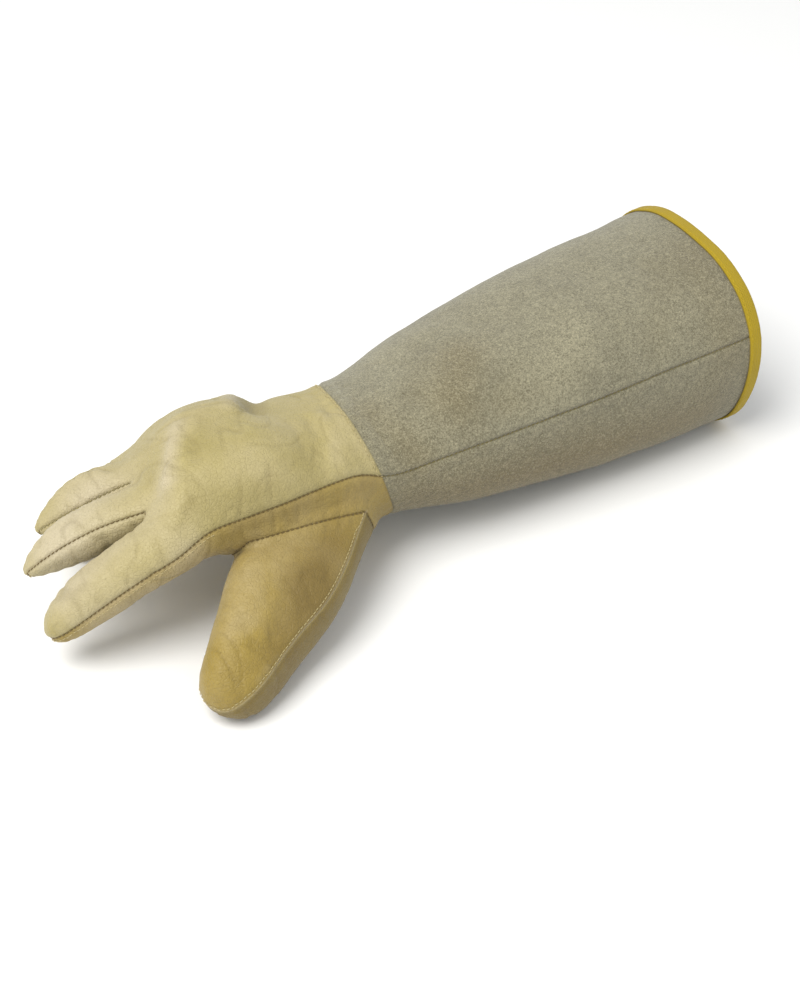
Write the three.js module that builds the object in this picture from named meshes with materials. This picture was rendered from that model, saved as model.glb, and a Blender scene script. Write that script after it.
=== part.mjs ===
// A long welding gauntlet for the right hand, lying palm down. The fingers point along -X, the mouth of
// the cuff opens along +X, the thumb is on the -Y side and the back of the hand faces up.
// The whole skin is one cage of quads, smoothed once, from which each leather panel is cut and given its wall.
import * as THREE from "three";

// Driving dimensions in millimetres, angles in degrees.
const GRAIN_LEATHER = 1.3; // hand panels
const STRIP_LEATHER = 1.0; // strips between the fingers
const SPLIT_LEATHER = 1.9; // cuff panels
const SEAM_GAP = 0.44; // between neighbouring pieces
const MITRE_LIMIT = 0.4; // keeps a piece from drawing back too far at a sharp corner
const TAPE = { thickness: 0.9, width: 7, gap: 0.3 }; // binding folded over the mouth
const BOW_PEAK = 130; // the wrist seam bows most on the thumb side of the back
const ARCH_POWER = 2.4; // 2 is an ellipse, more is squarer

const GRAIN_COLOUR = 0xcdbd7c;
const THUMB_COLOUR = 0xc4ab62;
const SPLIT_COLOUR = 0x9a9685;
const TAPE_COLOUR = 0xd6a51c;

// Sections across the glove: place of the centre, half width, height above and below the centre, how far the
// section leans down on the little-finger side, how far its seams turn round it, and how far it bows forward.
const CUFF_SECTIONS = [
  { x: 204, y: 3, z: 49, wide: 60, up: 50, down: 52.5, lean: -7, turn: 26, bow: 0 },
  { x: 165, y: 3, z: 47, wide: 59, up: 50, down: 50.5, lean: -5, turn: 24.5, bow: 0 },
  { x: 125, y: 3, z: 46, wide: 57.5, up: 48, down: 48.5, lean: -2, turn: 21, bow: 0 },
  { x: 85, y: 2, z: 45, wide: 54.5, up: 44.5, down: 43, lean: 1, turn: 18, bow: 1 },
  { x: 50, y: 1, z: 45, wide: 50, up: 40, down: 39, lean: 3, turn: 15, bow: 4 },
  { x: 26, y: 0, z: 45, wide: 44.5, up: 35, down: 35, lean: 6, turn: 11, bow: 8 },
  { x: 10, y: 0, z: 45, wide: 41, up: 31.5, down: 31, lean: 8, turn: 5, bow: 11 },
];
const HAND_SECTIONS = [
  { x: 0, y: 0, z: 45, wide: 40, up: 31, down: 30, lean: 9, turn: 7, bow: 13 },
  { x: -10, y: 0, z: 45, wide: 41, up: 30, down: 28, lean: 10, turn: 18, bow: 11 },
  { x: -33, y: 3, z: 46, wide: 45, up: 30, down: 26, lean: 12, turn: 14, bow: 5 },
  { x: -57, y: 6, z: 49, wide: 49, up: 36, down: 24, lean: 12, turn: 6, bow: 0 },
  { x: -80, y: 7, z: 50, wide: 49, up: 35, down: 27, lean: 16, turn: 0, bow: 0 },
  { x: -93, y: 8, z: 48, wide: 47.5, up: 25, down: 23, lean: 19, turn: 0, bow: 8 },
];
// Fingers: centre of the base, length beyond it, section, turn to the little-finger side, drop and curl, and
// how pointed the finger is, from 0 to 1.
const FINGERS = [
  { name: "index", x: -109, y: -27, z: 56, length: 72, wide: 25.5, deep: 24, yaw: 13.5, drop: 22, curl: 19, roll: 8, point: 0.3 },
  { name: "middle", x: -114, y: 1, z: 56, length: 59, wide: 22.5, deep: 19.5, yaw: 14, drop: 6, curl: 34, roll: -5, point: 1 },
  { name: "ring", x: -107, y: 27, z: 53, length: 48, wide: 23, deep: 20, yaw: 10, drop: 8, curl: 24, roll: -10, point: 1.2 },
  { name: "little", x: -98, y: 50.5, z: 35.8, length: 48, wide: 22, deep: 19, yaw: 2, drop: 27, curl: 44, roll: 24, point: 0 },
];
// Finger sections: place along the finger, size, and how much smaller a pointed finger is there.
const FINGER_RINGS = [
  { along: 0.2, size: 1.0, less: 0 },
  { along: 0.44, size: 1.02, less: 0 },
  { along: 0.68, size: 0.96, less: 0.12 },
  { along: 0.88, size: 0.8, less: 0.26 },
  { along: 0.98, size: 0.48, less: 0.22 },
];
const FINGER_SWELL = 1.1; // smoothing draws an eight-sided ring in by this much
const FINGER_CORNER = 0.8; // how square its section is
const FINGER_TIP = 0.03; // the rounded end, as a share of the length
// How far each web between two fingers sits behind their bases, on the back and in the palm.
const WEBS = [
  { name: "index_middle", back: -2, palm: 3 },
  { name: "middle_ring", back: 2, palm: 3 },
  { name: "ring_little", back: 4, palm: 6 },
];
// Thumb: centre, half width, half depth and turning of each section, and where its upper seam crosses it,
// as a share of the half width.
const THUMB_RINGS = [
  { x: -69, y: -54, z: 31, wide: 29, deep: 16, yaw: -40, drop: 16, seam: -0.8 },
  { x: -85, y: -66, z: 25.5, wide: 25, deep: 15, yaw: -46, drop: 22, seam: -0.6 },
  { x: -101.5, y: -76.5, z: 18.5, wide: 21, deep: 14.5, yaw: -48, drop: 20, seam: -0.45 },
  { x: -114, y: -85, z: 14, wide: 17.5, deep: 13.5, yaw: -48, drop: 14, seam: -0.4 },
  { x: -120, y: -90, z: 12.5, wide: 10, deep: 8, yaw: -48, drop: 8, seam: -0.35 },
];
const THUMB_ROLL = -25;
// The rest of the thumb's section, as shares of its half width and half depth, from that seam over the top.
const THUMB_OUTLINE = [
  [0, 1.02], [0.48, 0.97], [0.88, 0.75], [1, 0], [0.85, -0.8],
  [0.3, -1], [-0.3, -1], [-0.85, -0.8], [-1, 0.05],
];
const THUMB_SEAM_HEIGHT = 0.93; // of the upper seam, as a share of the half depth
const THUMB_TIP = 3; // the rounded end, beyond the last section
const THUMB_TIP_SPREAD = { side: 0.1, top: 0.33 }; // its two end points, as shares of the last section
// Folds and dents of the leather: from one point to another, how far they reach and how high they stand.
const FOLDS = [
  { name: "knuckle ridge, far part", from: [-62, 18, 84], to: [-85, 20, 79], reach: 10, height: 3.4 },
  { name: "knuckle ridge, near part", from: [-85, 20, 79], to: [-101, -20, 75], reach: 8, height: 2.2 },
  { name: "hollow behind the ridge", from: [-66, 0, 84], to: [-80, -24, 80], reach: 9, height: -1.6 },
  { name: "notch behind the crest", from: [-44, 24, 76], to: [-48, 10, 78], reach: 8, height: -2.2 },
  { name: "ridge beside the wrist seam", from: [-20, -10, 76], to: [-26, -32, 68], reach: 6, height: 2.2 },
  { name: "dent before that ridge", from: [-33, -8, 77], to: [-38, -30, 69], reach: 7, height: -1.4 },
  { name: "crease over the thumb root", from: [-78, -52, 42], to: [-52, -50, 42], reach: 8, height: -1.6 },
  { name: "crease inside the thumb", from: [-96, -84, 26], to: [-78, -80, 27], reach: 7, height: -1.2 },
  { name: "bend of the index finger", from: [-146, -30, 48], to: [-140, -12, 51], reach: 6, height: -1.2 },
];

const ACROSS = 9; // cage points over the back, and again over the palm
const EDGE_COLUMN = 0.92; // the outermost of them, as a share of the half width
const RING_SIZE = 2 * ACROSS + 2;
const RADIAL = 0; // ring index of the thumb-side seam
const ULNAR = ACROSS + 1; // ring index of the little-finger seam
const back = (column) => 1 + column;
const palm = (column) => RING_SIZE - 1 - column;
const THUMB_ROWS = [1, 4]; // hand sections that bound the thumb hole
const THUMB_COLUMNS = [0, 2]; // palm columns that bound it

const rad = THREE.MathUtils.degToRad;
const vec = (x, y, z) => new THREE.Vector3(x, y, z);
const mean = (points) => points.reduce((sum, p) => sum.add(p), vec(0, 0, 0)).divideScalar(points.length);

// The cage: points, and quads that each carry the name of their panel.
const cage = { points: [], quads: [] };
const addPoint = (p) => cage.points.push(p) - 1;
const addQuad = (corners, panel) => cage.quads.push({ corners, panel });

// One ring across the glove: thumb-side seam, over the back, little-finger seam, and back under the palm.
function sectionRing({ x, y, z, wide, up, down, lean, turn, bow }) {
  const shape = (value) => Math.sign(value) * Math.abs(value) ** (2 / ARCH_POWER);
  const place = (angle) => {
    const a = angle + rad(-turn);
    const across = wide * shape(Math.cos(a));
    const height = (Math.sin(a) > 0 ? up : down) * shape(Math.sin(a));
    const forward = bow * Math.max(0, Math.cos(a - rad(BOW_PEAK)));
    const tilted = vec(0, across, height).applyAxisAngle(vec(1, 0, 0), rad(-lean));
    return tilted.add(vec(x - forward, y, z));
  };
  const columns = Array.from({ length: ACROSS }, (_, j) => -EDGE_COLUMN + (2 * EDGE_COLUMN * j) / (ACROSS - 1));
  const angles = columns.map((c) => Math.acos(Math.sign(c) * Math.abs(c) ** (ARCH_POWER / 2)));
  return [
    place(Math.PI),
    ...angles.map(place),
    place(0),
    ...angles.toReversed().map((a) => place(-a)),
  ].map(addPoint);
}

function joinRings(near, far, panelOf) {
  near.forEach((_, k) => {
    const next = (k + 1) % near.length;
    const panel = panelOf(k);
    if (panel) addQuad([near[k], near[next], far[next], far[k]], panel);
  });
}

// Forward, dorsal and sideways directions of a finger or thumb section.
function heading(yaw, drop, roll) {
  const turned = new THREE.Matrix4()
    .makeRotationZ(rad(-yaw))
    .multiply(new THREE.Matrix4().makeRotationY(rad(-drop)))
    .multiply(new THREE.Matrix4().makeRotationX(rad(-roll)));
  return {
    ahead: vec(-1, 0, 0).transformDirection(turned),
    side: vec(0, 1, 0).transformDirection(turned),
    top: vec(0, 0, 1).transformDirection(turned),
  };
}

function fingerSections(finger) {
  const sections = [];
  let centre = vec(finger.x, finger.y, finger.z);
  let reached = 0;
  for (const { along, size, less } of [{ along: 0, size: 1, less: 0 }, ...FINGER_RINGS]) {
    const middle = (along + reached) / 2;
    const step = heading(finger.yaw, finger.drop + finger.curl * middle, finger.roll);
    centre = centre.clone().addScaledVector(step.ahead, (along - reached) * finger.length);
    reached = along;
    const facing = heading(finger.yaw, finger.drop + finger.curl * along, finger.roll);
    sections.push({ centre, size: (size - finger.point * less) * FINGER_SWELL, ...facing });
  }
  return sections;
}

// Eight points of a finger section: three over the back, a side, three under the palm and the other side.
function fingerRing(finger, { centre, size, side, top }) {
  const [w, d] = [(finger.wide / 2) * size, (finger.deep / 2) * size];
  const c = FINGER_CORNER;
  return [
    [-w * c, d * c], [0, d], [w * c, d * c], [w, 0],
    [w * c, -d * c], [0, -d], [-w * c, -d * c], [-w, 0],
  ].map(([s, t]) => centre.clone().addScaledVector(side, s).addScaledVector(top, t));
}

function addFinger(index, base) {
  const finger = FINGERS[index];
  const sections = fingerSections(finger);
  const nearWeb = index > 0 ? `fourchette_${FINGERS[index - 1].name}_${finger.name}` : null;
  const farWeb = index < 3 ? `fourchette_${finger.name}_${FINGERS[index + 1].name}` : null;
  const panels = [
    "hand_back", "hand_back", farWeb ?? "hand_back", farWeb ?? "hand_palm",
    "hand_palm", "hand_palm", nearWeb ?? "hand_palm", nearWeb ?? "hand_back",
  ];
  let ring = base;
  for (const section of sections.slice(1)) {
    const next = fingerRing(finger, section).map(addPoint);
    joinRings(ring, next, (k) => panels[k]);
    ring = next;
  }
  const last = sections.at(-1);
  const tip = addPoint(last.centre.clone().addScaledVector(last.ahead, FINGER_TIP * finger.length));
  addQuad([ring[0], ring[1], tip, ring[7]], "hand_back");
  addQuad([ring[1], ring[2], ring[3], tip], "hand_back");
  addQuad([tip, ring[3], ring[4], ring[5]], "hand_palm");
  addQuad([ring[7], tip, ring[5], ring[6]], "hand_palm");
}

// The row of finger bases: each finger gives its own middle points, and neighbours share their web.
function addFingers(lastRing) {
  const bases = FINGERS.map((finger) => {
    const section = fingerSections(finger)[0];
    return { ...section, ring: fingerRing(finger, section) };
  });
  const ring = Array(RING_SIZE);
  const webMiddles = [];
  const set = (k, p) => (ring[k] = addPoint(p));
  set(RADIAL, bases[0].ring[7]);
  set(ULNAR, bases[3].ring[3]);
  bases.forEach((base, f) => {
    set(back(2 * f + 1), base.ring[1]);
    set(palm(2 * f + 1), base.ring[5]);
    if (f === 0) {
      set(back(0), base.ring[0]);
      set(palm(0), base.ring[6]);
    }
    if (f === 3) {
      set(back(8), base.ring[2]);
      set(palm(8), base.ring[4]);
      return;
    }
    const beside = bases[f + 1];
    const web = WEBS[f];
    set(back(2 * f + 2), mean([base.ring[2], beside.ring[0]]).add(vec(web.back, 0, 0)));
    set(palm(2 * f + 2), mean([base.ring[4], beside.ring[6]]).add(vec(web.palm, 0, 0)));
    webMiddles.push(addPoint(mean([base.ring[3], beside.ring[7]]).add(vec(web.palm, 0, 0))));
  });
  joinRings(lastRing, ring, handPanel);
  FINGERS.forEach((_, f) => {
    addFinger(f, [
      ring[back(2 * f)], ring[back(2 * f + 1)], ring[back(2 * f + 2)], f < 3 ? webMiddles[f] : ring[ULNAR],
      ring[palm(2 * f + 2)], ring[palm(2 * f + 1)], ring[palm(2 * f)], f > 0 ? webMiddles[f - 1] : ring[RADIAL],
    ]);
  });
}

const handPanel = (k) => (k < ULNAR ? "hand_back" : "hand_palm");
const cuffPanel = (k) => (k < ULNAR ? "cuff_back" : "cuff_palm");

// The thumb grows from a hole in the palm: its outer half faces the back of the hand, its inner half the palm.
function addThumb(rings) {
  const [first, last] = THUMB_ROWS;
  const [near, far] = THUMB_COLUMNS;
  const rows = [first, first + 1, first + 2, last];
  let ring = [
    ...rows.map((r) => rings[r][palm(near)]),
    rings[last][palm(near + 1)],
    ...rows.toReversed().map((r) => rings[r][palm(far)]),
    rings[first][palm(near + 1)],
  ];
  const panelOf = (k) => (k < 5 ? "thumb_outer" : "thumb_inner");
  for (const section of THUMB_RINGS) {
    const { side, top } = heading(section.yaw, section.drop, THUMB_ROLL);
    const centre = vec(section.x, section.y, section.z);
    const outline = [[section.seam, THUMB_SEAM_HEIGHT], ...THUMB_OUTLINE];
    const next = outline.map(([s, t]) =>
      addPoint(centre.clone().addScaledVector(side, s * section.wide).addScaledVector(top, t * section.deep)),
    );
    joinRings(ring, next, panelOf);
    ring = next;
  }
  const end = THUMB_RINGS.at(-1);
  const { ahead, side, top } = heading(end.yaw, end.drop, THUMB_ROLL);
  const tips = [-1, 1].map((s) =>
    addPoint(
      vec(end.x, end.y, end.z)
        .addScaledVector(ahead, THUMB_TIP)
        .addScaledVector(side, s * THUMB_TIP_SPREAD.side * end.wide)
        .addScaledVector(top, -s * THUMB_TIP_SPREAD.top * end.deep),
    ),
  );
  addQuad([ring[0], ring[1], ring[2], tips[0]], "thumb_outer");
  addQuad([tips[0], ring[2], ring[3], tips[1]], "thumb_outer");
  addQuad([tips[1], ring[3], ring[4], ring[5]], "thumb_outer");
  addQuad([ring[9], ring[0], tips[0], ring[8]], "thumb_inner");
  addQuad([ring[8], tips[0], tips[1], ring[7]], "thumb_inner");
  addQuad([ring[7], tips[1], ring[5], ring[6]], "thumb_inner");
}

function buildCage() {
  const cuff = CUFF_SECTIONS.map(sectionRing);
  const hand = HAND_SECTIONS.map(sectionRing);
  [...cuff, hand[0]].reduce((near, far) => (joinRings(near, far, cuffPanel), far));
  const inThumbHole = (row, k) =>
    row >= THUMB_ROWS[0] && row < THUMB_ROWS[1] && k >= palm(THUMB_COLUMNS[1]) && k < palm(THUMB_COLUMNS[0]);
  for (let row = 0; row + 1 < hand.length; row++)
    joinRings(hand[row], hand[row + 1], (k) => (inThumbHole(row, k) ? null : handPanel(k)));
  addThumb(hand);
  addFingers(hand.at(-1));
}

const edgeKey = (a, b) => (a < b ? `${a}_${b}` : `${b}_${a}`);

// One step of Catmull-Clark smoothing. Points on an open edge follow that edge alone.
function smooth({ points, quads }) {
  const edges = new Map();
  const around = points.map(() => ({ faces: [], edges: [] }));
  const centres = quads.map(({ corners }) => mean(corners.map((c) => points[c])));
  quads.forEach(({ corners }, f) =>
    corners.forEach((a, i) => {
      const b = corners[(i + 1) % 4];
      const key = edgeKey(a, b);
      if (!edges.has(key)) {
        edges.set(key, { ends: [a, b], faces: [], middle: mean([points[a], points[b]]) });
        around[a].edges.push(key);
        around[b].edges.push(key);
      }
      edges.get(key).faces.push(f);
      around[a].faces.push(f);
    }),
  );
  const made = { points: [], quads: [] };
  const add = (p) => made.points.push(p) - 1;
  const corner = points.map((p, i) => {
    const beside = around[i].edges.map((key) => edges.get(key));
    const open = beside.filter((e) => e.faces.length === 1);
    if (open.length) return add(mean(open.map((e) => e.middle)).add(p).multiplyScalar(0.5));
    const n = beside.length;
    const faces = mean(around[i].faces.map((f) => centres[f]));
    const middles = mean(beside.map((e) => e.middle));
    return add(faces.addScaledVector(middles, 2).addScaledVector(p, n - 3).divideScalar(n));
  });
  for (const edge of edges.values()) {
    const sides = edge.faces.map((f) => centres[f]);
    const ends = edge.ends.map((v) => points[v]);
    edge.index = add(edge.faces.length === 1 ? edge.middle.clone() : mean([...ends, ...sides]));
  }
  quads.forEach(({ corners, panel }, f) => {
    const centre = add(centres[f]);
    const onEdge = (i) => edges.get(edgeKey(corners[i % 4], corners[(i + 1) % 4])).index;
    corners.forEach((c, i) =>
      made.quads.push({ corners: [corner[c], onEdge(i), centre, onEdge(i + 3)], panel }),
    );
  });
  return made;
}

function quadNormal(points, [a, b, c, d]) {
  return points[c].clone().sub(points[a]).cross(points[d].clone().sub(points[b]));
}

function normalsOf({ points, quads }) {
  const normals = points.map(() => vec(0, 0, 0));
  for (const { corners } of quads) {
    const n = quadNormal(points, corners).normalize();
    corners.forEach((c) => normals[c].add(n));
  }
  return normals.map((n) => n.normalize());
}

// A closed solid from a list of corner rings, each turned into two triangles or more.
function solidGeometry(points, faces) {
  const index = faces.flatMap((f) => f.slice(2).flatMap((_, i) => [f[0], f[i + 1], f[i + 2]]));
  const geometry = new THREE.BufferGeometry().setFromPoints(points).setIndex(index);
  geometry.computeVertexNormals();
  return geometry;
}

// Cuts one panel out of the skin and gives it its wall, inwards. Its seams stand back by half the gap.
function panelGeometry(skin, normals, panel, wall) {
  const quads = skin.quads.filter((q) => q.panel === panel).map((q) => q.corners);
  const borders = new Map();
  for (const corners of quads)
    corners.forEach((a, i) => {
      const b = corners[(i + 1) % 4];
      if (!borders.delete(`${b}_${a}`)) borders.set(`${a}_${b}`, [a, b]);
    });
  const used = [...new Set(quads.flat())];
  const outerOf = new Map(used.map((v, i) => [v, i]));
  const pulls = new Map([...borders.values()].flat().map((v) => [v, []]));
  for (const [a, b] of borders.values())
    for (const v of [a, b])
      pulls.get(v).push(normals[v].clone().cross(skin.points[b].clone().sub(skin.points[a])).normalize());
  const outer = used.map((v) => {
    const p = skin.points[v].clone();
    if (!pulls.has(v) || skin.open.has(v)) return p;
    const inward = mean(pulls.get(v)).normalize();
    const mitre = Math.max(MITRE_LIMIT, inward.dot(pulls.get(v)[0]));
    p.addScaledVector(inward, SEAM_GAP / 2 / mitre);
    return p.setZ(Math.max(p.z, 0));
  });
  const inner = used.map((v, i) => outer[i].clone().addScaledVector(normals[v], -wall));
  const count = used.length;
  return solidGeometry(
    [...outer, ...inner],
    [
      ...quads.map((q) => q.map((v) => outerOf.get(v))),
      ...quads.map((q) => q.map((v) => outerOf.get(v) + count).reverse()),
      ...[...borders.values()].map(([a, b]) => {
        const [p, q] = [outerOf.get(a), outerOf.get(b)];
        return a < b ? [p, p + count, q + count, q] : [q + count, q, p, p + count];
      }),
    ],
  );
}

// The tape, folded round the open edge of the cuff.
function bindingGeometry(skin, normals) {
  const { thickness, width, gap } = TAPE;
  const next = new Map(skin.openEdges.map(([a, b]) => [a, b]));
  const loop = [skin.openEdges[0][0]];
  while (next.get(loop.at(-1)) !== loop[0]) loop.push(next.get(loop.at(-1)));
  const inside = -SPLIT_LEATHER;
  const [over, under] = [gap + thickness, inside - gap - thickness];
  const profile = [
    [-width, gap], [-width, over], [0, over], [over, inside / 2], [0, under],
    [-width, under], [-width, inside - gap], [gap, inside - gap], [gap, gap],
  ];
  const points = loop.flatMap((v) => {
    const p = skin.points[v];
    const outward = p.clone().sub(skin.points[skin.behind.get(v)]).projectOnPlane(normals[v]).normalize();
    const around = profile.map(([e, n]) => p.clone().addScaledVector(outward, e).addScaledVector(normals[v], n));
    around.forEach((q) => (q.z = Math.max(q.z, 0)));
    return around;
  });
  const size = profile.length;
  const faces = loop.flatMap((_, i) =>
    profile.map((_, k) => {
      const [j, m] = [(i + 1) % loop.length, (k + 1) % size];
      return [i * size + k, i * size + m, j * size + m, j * size + k];
    }),
  );
  return solidGeometry(points, faces);
}

// Moves the skin along its own direction by every fold's share at each point.
function fold(points, normals) {
  const nearest = new THREE.Vector3();
  for (const { from, to, reach, height } of FOLDS) {
    const line = new THREE.Line3(vec(...from), vec(...to));
    points.forEach((p, i) => {
      const away = line.closestPointToPoint(p, true, nearest).distanceTo(p);
      p.addScaledVector(normals[i], height * Math.exp(-((away / reach) ** 2)));
    });
  }
}

// What lies on the floor is flat there. The mouth stays up by the thickness of its tape.
function restOnFloor(points) {
  const bound = CUFF_SECTIONS[0].x - TAPE.width;
  for (const p of points) p.z = Math.max(p.z, p.x > bound ? TAPE.gap + TAPE.thickness : 0);
}

buildCage();
const skin = smooth(cage);
fold(skin.points, normalsOf(skin));
restOnFloor(skin.points);
const normals = normalsOf(skin);
const directed = new Set(skin.quads.flatMap(({ corners: q }) => q.map((a, i) => `${a}_${q[(i + 1) % 4]}`)));
skin.openEdges = [...directed].map((e) => e.split("_").map(Number)).filter(([a, b]) => !directed.has(`${b}_${a}`));
skin.open = new Set(skin.openEdges.flat());
skin.behind = new Map();
for (const { corners } of skin.quads)
  corners.forEach((a, i) => {
    for (const b of [corners[(i + 1) % 4], corners[(i + 3) % 4]])
      if (skin.open.has(a) && !skin.open.has(b)) skin.behind.set(a, b);
  });

const leather = (color, roughness) => new THREE.MeshStandardMaterial({ color, roughness, metalness: 0 });
const grain = leather(GRAIN_COLOUR, 0.62);
const thumbGrain = leather(THUMB_COLOUR, 0.62);
const split = leather(SPLIT_COLOUR, 0.95);
const tape = leather(TAPE_COLOUR, 0.75);

const glove = new THREE.Group();
function addPiece(name, geometry, material) {
  const mesh = new THREE.Mesh(geometry, material);
  mesh.name = name;
  glove.add(mesh);
}
for (const name of ["hand_back", "hand_palm", "thumb_outer", "thumb_inner"])
  addPiece(name, panelGeometry(skin, normals, name, GRAIN_LEATHER), name.startsWith("thumb") ? thumbGrain : grain);
FINGERS.slice(1).forEach((finger, f) => {
  const name = `fourchette_${FINGERS[f].name}_${finger.name}`;
  addPiece(name, panelGeometry(skin, normals, name, STRIP_LEATHER), grain);
});
for (const name of ["cuff_back", "cuff_palm"])
  addPiece(name, panelGeometry(skin, normals, name, SPLIT_LEATHER), split);
addPiece("cuff_binding", bindingGeometry(skin, normals), tape);

// The origin is the middle of the footprint, on the floor.
const box = new THREE.Box3().setFromObject(glove);
const centre = box.getCenter(new THREE.Vector3());
glove.position.set(-centre.x, -centre.y, -box.min.z);

export default glove;
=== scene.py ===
"""A long welding gauntlet for the right hand: soft grain leather hand, split leather cuff, bound mouth.

The CAD panels give the form and the seams. Here they become one soft skin with its folds and puckers,
which is cut along the seams into leather panels again, stitched, bound and given its finishes.
"""

import math
from functools import partial

import bmesh
import bpy
import numpy as np
from bpy.props import FloatProperty, FloatVectorProperty, IntProperty, PointerProperty
from mathutils import Matrix, Vector, noise
from mathutils.kdtree import KDTree


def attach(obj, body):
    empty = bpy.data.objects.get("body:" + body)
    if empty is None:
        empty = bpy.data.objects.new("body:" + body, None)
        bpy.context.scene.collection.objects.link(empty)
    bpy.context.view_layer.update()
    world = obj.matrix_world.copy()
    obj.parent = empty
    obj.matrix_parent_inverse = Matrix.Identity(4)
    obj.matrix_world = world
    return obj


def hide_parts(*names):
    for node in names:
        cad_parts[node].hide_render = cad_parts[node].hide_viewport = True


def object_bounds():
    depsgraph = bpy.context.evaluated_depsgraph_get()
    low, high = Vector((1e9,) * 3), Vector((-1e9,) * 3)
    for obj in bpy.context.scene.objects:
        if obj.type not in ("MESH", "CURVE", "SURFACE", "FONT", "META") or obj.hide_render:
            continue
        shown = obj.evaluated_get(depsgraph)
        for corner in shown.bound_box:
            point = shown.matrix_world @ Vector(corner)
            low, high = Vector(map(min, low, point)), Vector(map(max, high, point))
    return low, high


bl_info = {
    "name": "Welding Gauntlet",
    "version": (1, 0, 0),
    "blender": (4, 5, 0),
    "location": "View3D > Sidebar > Gauntlet",
    "description": "Builds a right-hand leather welding gauntlet round its CAD panels",
    "category": "Object",
}

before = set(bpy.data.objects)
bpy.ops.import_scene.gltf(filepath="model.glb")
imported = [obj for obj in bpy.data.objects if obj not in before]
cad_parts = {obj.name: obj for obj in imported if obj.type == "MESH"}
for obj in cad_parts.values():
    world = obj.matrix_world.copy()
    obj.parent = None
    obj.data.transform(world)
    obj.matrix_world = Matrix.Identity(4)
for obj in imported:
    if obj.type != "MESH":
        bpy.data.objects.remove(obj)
bpy.context.view_layer.update()
cad_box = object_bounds()

MM = 0.001
HAND_PANELS = ("hand_back", "hand_palm")
THUMB_PANELS = ("thumb_outer", "thumb_inner")
FOURCHETTES = ("fourchette_index_middle", "fourchette_middle_ring", "fourchette_ring_little")
CUFF_PANELS = ("cuff_back", "cuff_palm")
PANELS = HAND_PANELS + THUMB_PANELS + FOURCHETTES + CUFF_PANELS
# The skin's places, faces, seams and fields, filled once by shape_skin.
SKIN = {}


class GauntletLeather(bpy.types.PropertyGroup):
    """Sizes of the leather, its seams and its folds, in millimetres"""

    grain_wall: FloatProperty(
        name="Grain leather", description="Thickness of the hand leather", default=1.3, min=0.5
    )
    strip_wall: FloatProperty(
        name="Strip leather", description="Thickness of the strips between the fingers", default=1.0, min=0.5
    )
    split_wall: FloatProperty(
        name="Split leather", description="Thickness of the cuff leather", default=1.9, min=0.5
    )
    detail: IntProperty(
        name="Detail", description="Times that the skin is subdivided", default=3, min=1, max=3
    )
    hand_groove: FloatProperty(
        name="Hand seam depth", description="How deep the hand's seams sink", default=0.55, min=0
    )
    cuff_groove: FloatProperty(
        name="Cuff seam depth", description="How deep the cuff's seams sink", default=0.6, min=0
    )
    groove_width: FloatProperty(
        name="Seam width", description="Half width of a seam's valley", default=0.8, min=0.2
    )
    pucker: FloatProperty(
        name="Pucker", description="Height of the small gathers beside a seam", default=0.2, min=0
    )
    pucker_pitch: FloatProperty(
        name="Pucker pitch", description="Distance between gathers along a seam", default=6.5, min=2
    )
    unevenness: FloatProperty(
        name="Unevenness", description="Height of the leather's broad swells", default=1.0, min=0
    )


class GauntletThread(bpy.types.PropertyGroup):
    """Sizes of the stitches and the binding, in millimetres"""

    pitch: FloatProperty(name="Stitch pitch", description="From stitch to stitch", default=2.3, min=1)
    length: FloatProperty(name="Stitch length", description="Thread that shows", default=1.6, min=0.5)
    width: FloatProperty(name="Thread", description="Thickness of the thread", default=0.38, min=0.2)
    tape_width: FloatProperty(name="Tape", description="Width of the tape's fold", default=5.9, min=3)
    tape_wall: FloatProperty(name="Tape wall", description="Thickness of the tape", default=0.9, min=0.3)


ScreenColour = partial(FloatVectorProperty, subtype="COLOR_GAMMA")


class GauntletColours(bpy.types.PropertyGroup):
    """Colours of the leather, thread and tape, as seen on a screen"""

    straw: ScreenColour(name="Straw", description="Back of the hand", default=(0.64, 0.59, 0.385))
    # Cream also paints the highlights on ridges.
    cream: ScreenColour(
        name="Cream", description="Pale leather of fingers and ridges", default=(0.74, 0.695, 0.595)
    )
    golden: ScreenColour(name="Golden", description="Thumb and side", default=(0.585, 0.50, 0.225))
    # Moss also paints shade on the back of the hand.
    moss: ScreenColour(name="Moss", description="Deeper patches of the hand", default=(0.52, 0.47, 0.25))
    # A darker copy of the golden leather: painted shade on the thumb's far side.
    tawny_shade: ScreenColour(name="Shaded tawny", description="Palm side of the thumb", default=(0.455, 0.385, 0.18))
    # Umber also paints shade on the thumb and on the cuff's lower side.
    umber: ScreenColour(name="Umber", description="Deeper side of the thumb", default=(0.44, 0.365, 0.17))
    # Olive also paints shade in folds, creases and seams.
    olive: ScreenColour(name="Olive", description="Pores, folds and seams", default=(0.34, 0.28, 0.11))
    suede: ScreenColour(name="Split", description="Cuff leather", default=(0.55, 0.53, 0.435))
    suede_dark: ScreenColour(name="Split, dark", description="Its nap's shadow", default=(0.30, 0.28, 0.21))
    mustard: ScreenColour(name="Mustard", description="Binding tape", default=(0.71, 0.605, 0.085))
    thread: ScreenColour(name="Thread", description="Sewing thread", default=(0.46, 0.37, 0.18))
    pale_thread: ScreenColour(
        name="Pale thread", description="Thread on the palm side", default=(0.76, 0.70, 0.50)
    )
    amber: ScreenColour(name="Amber", description="Inner edge of the tape", default=(0.66, 0.47, 0.06))
    floor: ScreenColour(name="Floor", description="Floor under the glove", default=(0.93, 0.93, 0.925))


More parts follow.
